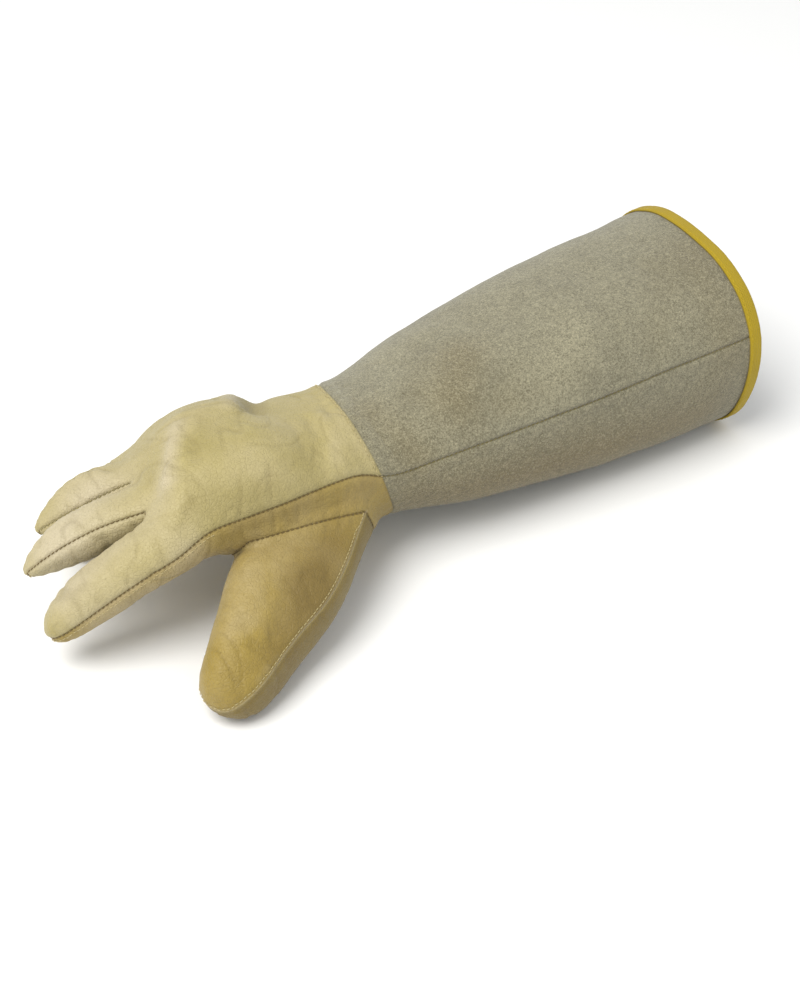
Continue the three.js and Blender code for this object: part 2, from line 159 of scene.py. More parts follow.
class GauntletStudio(bpy.types.PropertyGroup):
    """Camera and light"""

    azimuth: FloatProperty(
        name="Azimuth", description="Camera's turn about the glove", subtype="ANGLE", default=math.radians(-31)
    )
    elevation: FloatProperty(
        name="Elevation", description="Camera's height", subtype="ANGLE", default=math.radians(37.5)
    )
    distance: FloatProperty(
        name="Distance", description="Camera to the wrist", unit="LENGTH", default=0.85, min=0.3
    )
    lens: FloatProperty(name="Lens", description="Focal length, mm", default=64.0, min=10)
    key: FloatProperty(name="Key", description="Power of the main light, W", default=30.0, min=0)
    fill: FloatProperty(name="Fill", description="Power of the fill light, W", default=2.5, min=0)
    sky: FloatProperty(name="Sky", description="Strength of the room's light", default=0.72, min=0)


# The fingers begin beyond the knuckles. The camera looks at the wrist.
KNUCKLES_X = -0.112
WRIST = Vector((-0.0174, 0.0160, 0.045))

# Fine folds that the CAD leaves out. Each row says where it is, and gives its two ends, its reach and its
# height, in millimetres in the glove's frame.
FOLDS = (
    ("crease at the knuckles", (-97, 34, 86), (-106, 6, 84), 3.5, -1.0),
    ("second knuckle crease", (-120, 30, 74), (-127, 6, 70), 3.0, -0.5),
    ("fold at the cuff", (-38, 14, 78), (-44, -12, 68), 3.0, 0.9),
    ("crease before it", (-45, 14, 78), (-50, -10, 70), 2.5, -0.8),
    ("thumb root", (-96, -26, 48), (-62, -36, 44), 4.0, -1.0),
    ("thumb crease", (-92, -46, 41), (-108, -66, 33), 4.0, -0.9),
    ("index bend", (-158, -14, 52), (-156, 4, 53), 2.5, -0.6),
    ("middle bend", (-160, 16, 60), (-158, 30, 60), 2.5, -0.6),
    ("crest", (-62, 58, 64), (-75, 31, 85), 5.5, 1.8),
    ("notch behind the crest", (-50, 54, 62), (-63, 30, 77), 5.5, -3.4),
    ("ridge along the knuckles", (-104, 29, 84), (-120, 8, 77), 3.5, 1.2),
    ("first thumb wrinkle", (-98, -30, 45), (-112, -44, 44), 2.0, -0.45),
    ("second thumb wrinkle", (-94, -38, 46), (-104, -52, 42), 1.8, -0.4),
    ("inner index wrinkle", (-142, -20, 52), (-146, -16, 38), 2.2, -0.5),
    ("first wrist wrinkle", (-30, 30, 72), (-36, 8, 77), 2.2, -0.5),
    ("second wrist wrinkle", (-54, 12, 79), (-58, -8, 76), 2.4, -0.5),
    ("side wrinkle", (-52, -25, 54), (-72, -27, 56), 2.0, -0.4),
    ("dent above the cuff's seam", (18, -24, 74), (58, -30, 76), 12.0, -1.2),
    ("swell across the cuff", (84, -30, 72), (104, 14, 93), 12.0, 1.0),
    ("dent before the mouth", (126, -32, 74), (148, 4, 94), 11.0, -1.1),
    ("hollow beside the wrist", (4, 0, 76), (22, 22, 80), 9.0, -1.2),
    ("dent under the cuff's seam", (60, -48, 36), (100, -52, 34), 11.0, -1.2),
)
# Painted shade at a seam, by the kind of seam: above 0 darker, for the seam's own dark line and the painted
# shade in its valley; below 0 a painted highlight on a raised welt.
SEAM_SHADING = {
    "side": 0.32, "finger": 0.4, "inner": 0.08, "thumb": -0.7, "root": 0.15, "wrist": 0.05, "cuff": 0.22
}
# How deep each kind of seam sinks, as a share of the hand's or the cuff's seam depth. The thumb's welt rises.
HAND_SEAMS = {"side": 1.0, "finger": 1.0, "inner": 1.0, "thumb": -0.5, "root": 0.8}
CUFF_SEAMS = {"wrist": 0.5, "cuff": 1.0}
# Painted light and shade, with some of the leather's own tone, paler above 0 and darker below 0: the place,
# its two ends, its reach and the tone.
PAINTED_LIGHT_AND_TONE = (
    # Painted highlight on the knuckle ridge, painted shade in the hollow behind it.
    ("knuckle ridge", (-103, 31, 84), (-121, 7, 76), 6, 0.55),
    ("hollow behind the knuckles", (-93, 24, 86), (-103, 7, 83), 7, -0.35),
    ("back of the index finger", (-126, 0, 72), (-176, 0, 42), 11, 0.35),
    ("backs of the far fingers", (-146, 34, 58), (-172, 20, 52), 20, 0.85),
    ("under the index finger", (-124, -22, 52), (-166, -15, 34), 13, 0.4),
    # Painted highlight on the ridge beside the wrist, painted shadow on the top of the crest.
    ("ridge beside the wrist", (-41, -4, 76), (-49, -17, 70), 4, 0.2),
    ("crest", (-58, 54, 66), (-70, 34, 83), 6, -0.9),
    ("over the palm bones", (-116, -12, 76), (-90, -20, 74), 9, -0.4),
    ("back near the wrist", (-52, 0, 76), (-62, -10, 75), 8, -0.3),
    ("back along the side seam", (-62, -18, 64), (-104, -22, 62), 11, -0.4),
    ("strip at the wrist", (-34, -22, 55), (-44, -24, 54), 6, -0.35),
    # Painted shade along the thumb's far side, from its root.
    ("thumb root", (-60, -38, 44), (-84, -50, 41), 12, -0.8),
    ("along the thumb", (-80, -54, 38), (-110, -72, 28), 10, -0.75),
    ("thumb's crown", (-104, -44, 44), (-124, -60, 37), 12, 0.15),
    ("tip of the thumb", (-128, -64, 24), (-132, -70, 16), 9, -0.5),
    # Painted shade on the cuff's lower side, which faces away from the light.
    ("cuff under its seam", (-10, -33, 27), (150, -48, 21), 23, -1.0),
    ("cuff at the mouth", (170, -40, 60), (172, 4, 92), 16, -0.3),
    ("cuff at the wrist", (-18, 2, 74), (-8, -24, 62), 9, -0.3),
    ("band across the cuff", (48, -26, 72), (92, -10, 86), 12, 0.6),
    ("patch above the wrist", (18, -12, 79), (34, 6, 86), 14, -0.4),
    # Painted light on the cuff's upper far side.
    ("far side of the cuff", (6, 34, 76), (150, 46, 90), 13, 0.35),
)
# A soft rise beside a seam, in millimetres: its height, its distance from the seam and its width.
SHOULDER_HEIGHT, SHOULDER_AWAY, SHOULDER_WIDTH = 0.3, 3.0, 2.2
# Gathers start and fade at these distances from a seam, and a noise of this size shifts them, in millimetres.
PUCKER_START, PUCKER_FADE, PUCKER_SHIFT_SIZE, PUCKER_SHIFT = 1.5, 5.0, 25, 3.0
# Broad swells of the leather: height, size in millimetres and seed.
SWELLS = ((0.9, 34, 2), (0.3, 14, 3), (0.05, 5, 4))
# Fine creases: depth, size in millimetres, seed and width of the line as a share.
CREASES = ((0.55, (11, 30, 30), 5, 0.07), (0.4, 17, 6, 0.05))
# Creases start at this distance from a seam in millimetres, and the cuff has this share of them.
CREASE_START, CUFF_CREASES = 3.0, 0.25
# Where the creases begin to fade beyond the wrist, and over what length, in metres.
WRIST_EDGE, WRIST_BLEND = 0.012, 0.02
# A seam's turned-in leather makes the wall thicker by this much over this width, in millimetres.
ALLOWANCE, ALLOWANCE_WIDTH = 0.9, 0.9


def linear(colour):
    """A screen colour as the linear one that shaders take."""
    return [c / 12.92 if c <= 0.04045 else ((c + 0.055) / 1.055) ** 2.4 for c in colour] + [1.0]


def shade_of(colour, share):
    """A linear colour made darker, or paler where the share is over 1."""
    return [min(1.0, share * c) for c in colour[:3]] + [1.0]


def deselect():
    """Deselects everything, so that an operator acts only on what it is meant for."""
    for other in bpy.context.selected_objects:
        other.select_set(False)


def make_active(obj):
    deselect()
    obj.select_set(True)
    bpy.context.view_layer.objects.active = obj


def new_object(name, corners, faces):
    mesh = bpy.data.meshes.new(name)
    mesh.from_pydata([tuple(c) for c in corners], [], faces)
    mesh.update()
    obj = bpy.data.objects.new(name, mesh)
    bpy.context.scene.collection.objects.link(obj)
    return obj


def corner_places(mesh):
    flat = np.empty(len(mesh.vertices) * 3)
    mesh.vertices.foreach_get("co", flat)
    return flat.reshape(-1, 3)


def corner_normals(mesh):
    flat = np.empty(len(mesh.vertices) * 3)
    mesh.vertex_normals.foreach_get("vector", flat)
    return flat.reshape(-1, 3)


def nearest_tree(places):
    tree = KDTree(len(places))
    for index, place in enumerate(places):
        tree.insert(place, index)
    tree.balance()
    return tree


# A rim's edge is as long as the wall to within this. Corners of two panels that are welded lie this near.
RIM_TOLERANCE = 0.003 * MM
WELD_REACH = 2.2 * MM
# How many of a side's border corners tell which side meets the panels chosen before.
NEAREST_COUNT = 15


def connected_faces(faces):
    """Groups of faces that share edges."""
    left = set(faces)
    groups = []
    while left:
        stack = [min(left, key=lambda face: face.index)]
        left.discard(stack[0])
        group = []
        while stack:
            face = stack.pop()
            group.append(face)
            for edge in face.edges:
                for beside in edge.link_faces:
                    if beside in left:
                        left.discard(beside)
                        stack.append(beside)
        groups.append(group)
    return groups


def panel_sides(name, wall):
    """Both sides of a CAD panel: the corners, the triangles, and which corners lie on the border."""
    sheet = bmesh.new()
    sheet.from_mesh(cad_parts[name].data)
    bmesh.ops.remove_doubles(sheet, verts=sheet.verts, dist=0.001 * MM)
    rims = [f for f in sheet.faces if any(abs(e.calc_length() - wall) < RIM_TOLERANCE for e in f.edges)]
    bmesh.ops.delete(sheet, geom=rims, context="FACES")
    sheet.faces.index_update()
    sides = []
    for group in connected_faces(sheet.faces):
        corners = sorted({v for f in group for v in f.verts}, key=lambda v: v.index)
        place_of = {v: i for i, v in enumerate(corners)}
        sides.append((
            [v.co.copy() for v in corners],
            [[place_of[v] for v in f.verts] for f in sorted(group, key=lambda face: face.index)],
            [v.is_boundary for v in corners],
            sum(f.calc_area() for f in group),
        ))
    sheet.free()
    if len(sides) != 2:
        raise RuntimeError(f"{name} has {len(sides)} sides, not two")
    return sides


def wall_of(name, leather):
    """The thickness of a panel's leather, in millimetres."""
    if name in CUFF_PANELS:
        return leather.split_wall
    return leather.strip_wall if name in FOURCHETTES else leather.grain_wall


def outer_sides(leather):
    """The outward side of every panel. The back's is its larger one; the others meet a side already chosen."""
    chosen = []
    for name in PANELS:
        sides = panel_sides(name, wall_of(name, leather) * MM)
        if not chosen:
            chosen.append(max(sides, key=lambda side: side[3]))
            continue
        tree = nearest_tree([p for side in chosen for p, on_border in zip(side[0], side[2]) if on_border])
        away = [
            sum(sorted(tree.find(p)[2] for p, on_border in zip(side[0], side[2]) if on_border)[:NEAREST_COUNT])
            for side in sides
        ]
        chosen.append(sides[away.index(min(away))])
    return chosen


def welded_skin(leather):
    """All outward sides, joined at the seams into one skin of quads. Each face keeps its panel's number."""
    corners, faces, panel_of_face, panel_of_corner, border = [], [], [], [], []
    for number, (places, triangles, edge, _) in enumerate(outer_sides(leather)):
        start = len(corners)
        corners += places
        border += edge
        panel_of_corner += [number] * len(places)
        faces += [[start + i for i in triangle] for triangle in triangles]
        panel_of_face += [number] * len(triangles)
    joined = list(range(len(corners)))

    def root(i):
        while joined[i] != i:
            i = joined[i]
        return i

    edges = [i for i, on_edge in enumerate(border) if on_edge]
    own = [[i for i in edges if panel_of_corner[i] == number] for number in range(len(PANELS))]
    trees = [nearest_tree([corners[i] for i in members]) for members in own]

    def partner(i, number):
        _, found, distance = trees[number].find(corners[i])
        return own[number][found] if distance < WELD_REACH else None

    for i in edges:
        for number in range(len(PANELS)):
            other = partner(i, number) if number != panel_of_corner[i] else None
            if other is not None and partner(other, panel_of_corner[i]) == i:
                joined[root(i)] = root(other)
    clusters = {}
    for i in range(len(corners)):
        clusters.setdefault(root(i), []).append(i)
    place_of = {}
    places = []
    for members in clusters.values():
        for i in members:
            place_of[i] = len(places)
        places.append(sum((corners[i] for i in members), Vector()) / len(members))
    skin = new_object("skin", places, [[place_of[i] for i in face] for face in faces])
    for polygon, number in zip(skin.data.polygons, panel_of_face):
        polygon.material_index = number
    for name in PANELS:
        skin.data.materials.append(bpy.data.materials.new("panel_" + name))
    return skin


def dissolve_diagonals(skin):
    """Joins the triangles in pairs. A point in the middle of a side has four edges, or three at the mouth."""
    sheet = bmesh.new()
    sheet.from_mesh(skin.data)
    middle = {v for v in sheet.verts if len(v.link_edges) == (3 if v.is_boundary else 4)}
    diagonals = [e for e in sheet.edges if not (set(e.verts) & middle) and len(e.link_faces) == 2]
    bmesh.ops.dissolve_edges(sheet, edges=diagonals, use_verts=False)
    sheet.to_mesh(skin.data)
    sheet.free()


def subdivide(obj, levels):
    make_active(obj)
    smooth = obj.modifiers.new("smooth", "SUBSURF")
    smooth.levels = levels
    smooth.render_levels = levels
    bpy.ops.object.modifier_apply(modifier=smooth.name)


def seam_chains(mesh):
    """The seams as chains of corners, each with the pair of panels that meet there, and the mouth's loop."""
    sides = {}
    for polygon in mesh.polygons:
        for key in polygon.edge_keys:
            sides.setdefault(key, []).append(polygon.material_index)
    links = {}
    mouth = {}
    for key, numbers in sides.items():
        if len(numbers) == 1:
            store = mouth
        elif numbers[0] != numbers[1]:
            store = links.setdefault(tuple(sorted(numbers)), {})
        else:
            continue
        for a, b in (key, key[::-1]):
            store.setdefault(a, []).append(b)
    chains = []
    for pair, ties in sorted(links.items()):
        chains += [(pair, chain) for chain in walk(ties)]
    return chains, walk(mouth)[0]


def walk(ties):
    """Open chains first, from end to end, then closed ones."""
    left = {key: list(value) for key, value in ties.items()}
    chains = []
    starts = sorted(key for key, value in left.items() if len(value) == 1) + sorted(left)
    for start in starts:
        if not left.get(start):
            continue
        chain = [start]
        while left.get(chain[-1]):
            step = left[chain[-1]].pop(0)
            left[step].remove(chain[-1])
            chain.append(step)
        chains.append(chain)
    return chains


def seam_kind(pair):
    """The name of the kind of seam that joins a pair of panels."""
    names = {PANELS[number] for number in pair}
    if names & set(CUFF_PANELS):
        return "cuff" if names == set(CUFF_PANELS) else "wrist"
    if names & set(THUMB_PANELS):
        return "thumb" if names == set(THUMB_PANELS) else "root"
    if names == set(HAND_PANELS):
        return "side"
    return "finger" if FOURCHETTES[0] in names else "inner"


def noise_field(places, size, seed):
    """Smooth noise about zero. The size of its swells is one length, or one each along X, Y and Z."""
    shift = np.array((seed * 7.13, seed * 3.71, seed * 5.37))
    return np.array([noise.noise(p) for p in places / (np.array(size) * MM) + shift])


def line_field(places, rows):
    """The sum of each row's value round its line, fading over its reach."""
    total = np.zeros(len(places))
    for _, start, end, reach, value in rows:
        a, b = np.array(start) * MM, np.array(end) * MM
        along = np.clip((places - a) @ (b - a) / ((b - a) @ (b - a)), 0, 1)
        away = np.linalg.norm(places - a - along[:, None] * (b - a), axis=1)
        total += value * np.exp(-((away / (reach * MM)) ** 2))
    return total


def crease_field(places, size, seed, width):
    """Fine lines where a smooth field crosses zero, in patches, from 0 to 1."""
    line = noise_field(places, size, seed)
    patch = noise_field(places, np.ravel(size)[0] * 1.7, seed + 20)
    return np.exp(-((line / width) ** 2)) * np.clip(0.5 + 2.0 * patch, 0, 1)


def seam_fields(places, chains, leather):
    """At each place of the skin: distance to the nearest seam, the way along it, its depth and its shading,
    which paints shade at most seams and a highlight on the thumb's welt.
    """
    kind_of, way_of = {}, {}
    for pair, chain in chains:
        way = 0.0
        for i, corner in enumerate(chain):
            if i:
                way += float(np.linalg.norm(places[corner] - places[chain[i - 1]]))
            kind_of[corner] = seam_kind(pair)
            way_of[corner] = way
    depth_of = {kind: share * leather.hand_groove for kind, share in HAND_SEAMS.items()}
    depth_of.update({kind: share * leather.cuff_groove for kind, share in CUFF_SEAMS.items()})
    seam_corners = sorted(kind_of)
    tree = nearest_tree([places[c] for c in seam_corners])
    rows = []
    for place in places:
        _, found, distance = tree.find(place)
        corner = seam_corners[found]
        rows.append((distance, way_of[corner], depth_of[kind_of[corner]], SEAM_SHADING[kind_of[corner]]))
    return [np.array(column) for column in zip(*rows)]


def relief_of(places, away, way, leather):
    """Height of the leather over the plain skin and depth of its fine creases, in millimetres."""
    shoulder = SHOULDER_HEIGHT * np.exp(-(((away - SHOULDER_AWAY) / SHOULDER_WIDTH) ** 2))
    shift = PUCKER_SHIFT * noise_field(places, PUCKER_SHIFT_SIZE, 1)
    waves = np.sin(2 * math.pi * way / (leather.pucker_pitch * MM) + shift)
    puckers = leather.pucker * waves * np.exp(-away / PUCKER_FADE) * np.clip(away / PUCKER_START, 0, 1)
    swells = sum(height * noise_field(places, size, seed) for height, size, seed in SWELLS)
    on_hand = np.clip((WRIST.x + WRIST_EDGE - places[:, 0]) / WRIST_BLEND, 0, 1)
    creases = sum(crease_field(places, size, seed, width) * depth for depth, size, seed, width in CREASES)
    creases = creases * (CUFF_CREASES + (1 - CUFF_CREASES) * on_hand) * np.clip(away / CREASE_START, 0, 1)
    return line_field(places, FOLDS) + leather.unevenness * swells + shoulder + puckers - creases, creases


def shape_skin(leather):
    """The whole skin with seams, puckers, folds and swells. Built once and kept for the pieces."""
    if SKIN:
        return
    skin = welded_skin(leather)
    dissolve_diagonals(skin)
    subdivide(skin, leather.detail)
    mesh = skin.data
    places, normals = corner_places(mesh), corner_normals(mesh)
    chains, mouth = seam_chains(mesh)
    distance, way, depth, shading = seam_fields(places, chains, leather)
    away = distance / MM
    broad, creases = relief_of(places, away, way, leather)
    groove = depth * np.exp(-((away / leather.groove_width) ** 2))
    base = places + normals * (broad * MM)[:, None]
    shaped = base - normals * (groove * MM)[:, None]
    for heights in (base, shaped):
        heights[:, 2] = np.maximum(heights[:, 2], 0.0)
    faces = np.empty(len(mesh.polygons) * 4, int)
    mesh.polygons.foreach_get("vertices", faces)
    panel_of_face = np.empty(len(mesh.polygons), int)
    mesh.polygons.foreach_get("material_index", panel_of_face)
    # The seams' shading and the tone table carry the painted shade and highlights that the leather's colour
    # takes.
    SKIN.update(
        base=base, shaped=shaped, normals=normals, faces=faces.reshape(-1, 4), panel_of_face=panel_of_face,
        seam=away, relief=broad, crease=creases, seam_tone=shading, dye=np.clip(line_field(places, PAINTED_LIGHT_AND_TONE), -1, 1),
        chains=chains, mouth=mouth,
    )
    bpy.data.objects.remove(skin)
    for name in PANELS:
        bpy.data.materials.remove(bpy.data.materials["panel_" + name])


def cut_panel(name, leather):
    """One leather panel, cut from the skin along its seams and given its thickness inwards."""
    wall = wall_of(name, leather) * MM
    faces = SKIN["faces"][SKIN["panel_of_face"] == PANELS.index(name)]
    used, packed = np.unique(faces, return_inverse=True)
    faces = packed.reshape(-1, 4)
    count = len(used)
    near = np.exp(-((SKIN["seam"][used] / ALLOWANCE_WIDTH) ** 2))
    inner = SKIN["base"][used] - SKIN["normals"][used] * (wall + ALLOWANCE * MM * near)[:, None]
    open_sides = {}
    for face in faces.tolist():
        for a, b in zip(face, face[1:] + face[:1]):
            if (b, a) in open_sides:
                del open_sides[(b, a)]
            else:
                open_sides[(a, b)] = True
    rims = [[b, a, a + count, b + count] for a, b in open_sides]
    quads = faces.tolist() + (faces[:, ::-1] + count).tolist() + rims
    panel = new_object(name + "_leather", np.concatenate([SKIN["shaped"][used], inner]), quads)
    panel.data.polygons.foreach_set("use_smooth", [True] * len(quads))
    # The panels keep the seams' painted shade and welt highlight, and the tone table's painted light, as
    # attributes.
    for label in ("seam", "seam_tone", "relief", "crease", "dye"):
        values = SKIN[label][used]
        store = panel.data.attributes.new(label, "FLOAT", "POINT")
        store.data.foreach_set("value", np.concatenate([values, values]).astype(np.float32))
    panel.data.update()
    return panel


def finish_piece(piece, slot, material, *nodes):
    """Gives a piece its material and body, and hides the CAD nodes whose place it takes."""
    piece.data.materials.clear()
    piece.data.materials.append(material)
    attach(piece, "root")
    if nodes:
        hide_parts(*nodes)


def cut_panels(context, names, slot, materials):
    """Cuts the named panels from the skin and finishes each in its material."""
    leather = context.scene.gauntlet_leather
    shape_skin(leather)
    for name, material in zip(names, materials):
        finish_piece(cut_panel(name, leather), slot, material, name)


def fill(tree, socket, value):
    """Links a socket to another one, or sets its value."""
    if isinstance(value, bpy.types.NodeSocket):
        tree.links.new(value, socket)
    else:
        socket.default_value = value


def new_group(name, inputs, outputs):
    """An empty node group. An input without a value of its own is a place, and all the rest are numbers."""
    tree = bpy.data.node_groups.new(name, "ShaderNodeTree")
    for label, value in inputs.items():
        kind = "NodeSocketVector" if value is None else "NodeSocketFloat"
        socket = tree.interface.new_socket(label, in_out="INPUT", socket_type=kind)
        if value is not None:
            socket.default_value = value
    for label in outputs:
        tree.interface.new_socket(label, in_out="OUTPUT", socket_type="NodeSocketFloat")
    return tree, tree.nodes.new("NodeGroupInput").outputs, tree.nodes.new("NodeGroupOutput").inputs


def add_node(tree, kind, **settings):
    """A node with its settings and inputs filled in. The inputs go by their names."""
    node = tree.nodes.new(kind)
    for key, value in settings.items():
        if key in node.inputs.keys():
            fill(tree, node.inputs[key], value)
        else:
            setattr(node, key, value)
    return node


def math_node(tree, operation, a, b, clamp=False):
    """The result of a sum or the like, of sockets or numbers."""
    node = add_node(tree, "ShaderNodeMath", operation=operation, use_clamp=clamp)
    for socket, value in zip(node.inputs, (a, b)):
        fill(tree, socket, value)
    return node.outputs[0]


def share_of(tree, value, share):
    """A value times a share, which may vary too."""
    return math_node(tree, "MULTIPLY", value, share)


# Places of the colour sockets on a Mix node, whose other kinds of sockets have the same names.
MIX_SHARE, MIX_A, MIX_B, MIX_RESULT = 0, 6, 7, 2


def lay_over(tree, body, layers):
    """The body colour with each layer's colour mixed in, by its value over the surface and its share."""
    for value, share, colour in layers:
        node = add_node(tree, "ShaderNodeMix", data_type="RGBA")
        for number, given in ((MIX_SHARE, share_of(tree, value, share)), (MIX_A, body), (MIX_B, colour)):
            fill(tree, node.inputs[number], given)
        body = node.outputs[MIX_RESULT]
    return body


def span(tree, value, low, high):
    """The value spread from 0 at low to 1 at high, and held there beyond."""
    settings = {"Value": value, "From Min": low, "From Max": high}
    return add_node(tree, "ShaderNodeMapRange", clamp=True, **settings).outputs["Result"]


def mottle_group():
    """Uneven dye, each part from 0 to 1: broad clouds, small patches and fine flecks."""
    tree, given, result = new_group(
        "leather_mottle",
        {"Vector": None, "Cloud Scale": 24.0, "Patch Scale": 150.0, "Fleck Scale": 1500.0},
        ("Cloud", "Patch", "Fleck"),
    )
    parts = (("Cloud", 4.0, 0.36, 0.64), ("Patch", 3.0, 0.42, 0.66), ("Fleck", 2.0, 0.5, 0.68))
    for label, detail, low, high in parts:
        texture = add_node(
            tree, "ShaderNodeTexNoise", Vector=given["Vector"], Scale=given[label + " Scale"], Detail=detail,
            Roughness=0.6,
        )
        fill(tree, result[label], span(tree, texture.outputs["Fac"], low, high))
    return tree


def grain_group():
    """Grain leather: a net of fine creases with hair pores, as a height, and the pores alone from 0 to 1."""
    tree, given, result = new_group(
        "leather_grain", {"Vector": None, "Net Scale": 520.0, "Pore Scale": 900.0}, ("Height", "Pore")
    )
    place, pushed = given["Vector"], (0.0022, 0.0022, 0.0022)
    warp = add_node(tree, "ShaderNodeTexNoise", Vector=place, Scale=240.0, Detail=2.0)
    bend = add_node(tree, "ShaderNodeVectorMath", operation="MULTIPLY_ADD")
    for socket, value in zip(bend.inputs, (warp.outputs["Color"], pushed, place)):
        fill(tree, socket, value)
    net = add_node(
        tree, "ShaderNodeTexVoronoi", feature="DISTANCE_TO_EDGE", Vector=bend.outputs[0],
        Scale=given["Net Scale"],
    )
    pores = add_node(tree, "ShaderNodeTexVoronoi", feature="F1", Vector=place, Scale=given["Pore Scale"])
    soft = add_node(tree, "ShaderNodeTexNoise", Vector=place, Scale=420.0, Detail=3.0, Roughness=0.6)
    creases = share_of(tree, span(tree, net.outputs["Distance"], 0.0, 0.16), 0.5)
    pore = span(tree, pores.outputs["Distance"], 0.26, 0.1)
    relief = math_node(tree, "ADD", creases, share_of(tree, soft.outputs["Fac"], 0.6))
    fill(tree, result["Height"], math_node(tree, "SUBTRACT", relief, share_of(tree, pore, 0.35)))
    fill(tree, result["Pore"], pore)
    return tree


def nap_group():
    """The brushed fibres of split leather: a height, and the share of dark and of light fibres."""
    tree, given, result = new_group(
        "split_nap", {"Vector": None, "Fibre Scale": 1500.0, "Tuft Scale": 520.0}, ("Height", "Dark", "Light")
    )
    layers = []
    kinds = (("Fibre Scale", 0.75, 0.8, 0.7), ("Tuft Scale", 0.7, 0.6, 0.3))
    for label, roughness, distortion, share in kinds:
        texture = add_node(
            tree, "ShaderNodeTexNoise", Vector=given["Vector"], Scale=given[label], Detail=3.0,
            Roughness=roughness, Distortion=distortion,
        )
        layers.append(share_of(tree, texture.outputs["Fac"], share))
    both = math_node(tree, "ADD", *layers)
    fill(tree, result["Height"], both)
    fill(tree, result["Dark"], span(tree, both, 0.52, 0.40))
    fill(tree, result["Light"], span(tree, both, 0.52, 0.62))
    return tree


def shade_highlight_and_tone_group():
    """Painted shade at seams, hollows and creases, with each seam's own dark line; paler raised leather; a
    painted highlight on the thumb's welt; and the tone table's painted light and shade with the leather's own
    tone.
    """
    tree, given, result = new_group("seam_wear", {"Width": 2.2}, ("Shade", "Rubbed", "Pale", "Deep"))
    seam, shading, relief, crease, dye = (
        add_node(tree, "ShaderNodeAttribute", attribute_name=label).outputs["Fac"]
        for label in ("seam", "seam_tone", "relief", "crease", "dye")
    )
    near = math_node(tree, "SUBTRACT", 1.0, math_node(tree, "DIVIDE", seam, given["Width"]), clamp=True)
    close = math_node(tree, "POWER", near, 1.5)
    # Painted shade in the skin's hollows and in its creases.
    low = share_of(tree, span(tree, relief, -0.3, -1.8), 0.3)
    hollow_and_crease_shade = math_node(tree, "MAXIMUM", low, share_of(tree, crease, 0.4))
    # A painted highlight on the thumb's raised welt, where the seam's shading is below 0.
    welt_highlight = share_of(tree, close, math_node(tree, "MULTIPLY", shading, -1.0, clamp=True))
    # Paler where the leather rises over the plain skin.
    raised_pale = share_of(tree, span(tree, relief, 0.4, 2.0), 0.6)
    # Darker at a seam: its own dark line and the painted shade in its valley.
    fill(tree, result["Shade"], math_node(tree, "MAXIMUM", share_of(tree, close, shading), hollow_and_crease_shade))
    fill(tree, result["Rubbed"], math_node(tree, "MAXIMUM", raised_pale, welt_highlight))
    # Painted highlights and painted shade from the tone table, with the leather's own tone.
    fill(tree, result["Pale"], span(tree, dye, 0.0, 1.0))
    fill(tree, result["Deep"], span(tree, dye, 0.0, -1.0))
    return tree


def place_group(tree, make, name, **values):
    """The outputs of a shared node group, placed with its own values. The group is made on first use."""
    node = add_node(tree, "ShaderNodeGroup", node_tree=bpy.data.node_groups.get(name) or make())
    for key, value in values.items():
        fill(tree, node.inputs[key.replace("_", " ")], value)
    return node.outputs


def start_material(name, roughness, sheen):
    """A new material with its nodes, or the one of that name alone where it has been made already."""
    material = bpy.data.materials.get(name)
    if material:
        return material, None, None, None
    material = bpy.data.materials.new(name)
    material.use_nodes = True
    tree = material.node_tree
    shader = tree.nodes["Principled BSDF"]
    shader.inputs["Roughness"].default_value = roughness
    shader.inputs["Sheen Weight"].default_value = sheen
    shader.inputs["Sheen Roughness"].default_value = 0.5
    shader.inputs["Specular IOR Level"].default_value = 0.35
    return material, tree, shader, tree.nodes.new("ShaderNodeTexCoord").outputs["Object"]


def add_bump(tree, shader, height, distance):
    """Turns a height into the surface's small relief, of the given depth in metres."""
    bump = add_node(tree, "ShaderNodeBump", Strength=1.0, Distance=distance, Height=height)
    fill(tree, shader.inputs["Normal"], bump.outputs["Normal"])


# The colours of each grain leather: its own, and its pale, deep and dark ones. The pale one also paints
# highlights, the deep and dark ones painted shade.
GRAIN_LEATHERS = {
    "straw_leather": ("straw", "cream", "moss", "olive"),
    "golden_leather": ("golden", "cream", "umber", "olive"),
    # The thumb's palm side: a darker copy of the golden leather, painted shade where it faces away from the
    # light.
    "tawny_leather": ("tawny_shade", "straw", "umber", "olive"),
}


def grain_leather(name, colours):
    """Smooth leather with uneven dye, a net of creases and pores, painted shade at seams, hollows and creases,
    paler raised leather, and the painted highlights and shade of the tone table.
    """
    material, tree, shader, place = start_material(name, 0.55, 0.08)
    if tree is None:
        return material
    own, pale, deep, dark = (linear(getattr(colours, key)) for key in GRAIN_LEATHERS[name])
    mottle = place_group(tree, mottle_group, "leather_mottle", Vector=place)
    grain = place_group(tree, grain_group, "leather_grain", Vector=place)
    light_and_tone_marks = place_group(tree, shade_highlight_and_tone_group, "seam_wear", Width=1.5)
    # The pale colour also paints highlights, the deep one painted shade from the tone table, and the dark one
    # painted shade at seams, hollows and creases.
    body = lay_over(tree, own, (
        (mottle["Cloud"], 0.24, pale), (light_and_tone_marks["Pale"], 0.9, pale), (light_and_tone_marks["Deep"], 0.9, deep),
        (mottle["Patch"], 0.15, deep), (light_and_tone_marks["Rubbed"], 0.6, pale), (mottle["Fleck"], 0.17, dark),
        (grain["Pore"], 0.15, dark), (light_and_tone_marks["Shade"], 0.8, dark),
    ))
    fill(tree, shader.inputs["Base Color"], body)
    rough = math_node(tree, "ADD", 0.5, share_of(tree, mottle["Cloud"], 0.12))
    fill(tree, shader.inputs["Roughness"], rough)
    add_bump(tree, shader, grain["Height"], 0.00026)
    return material


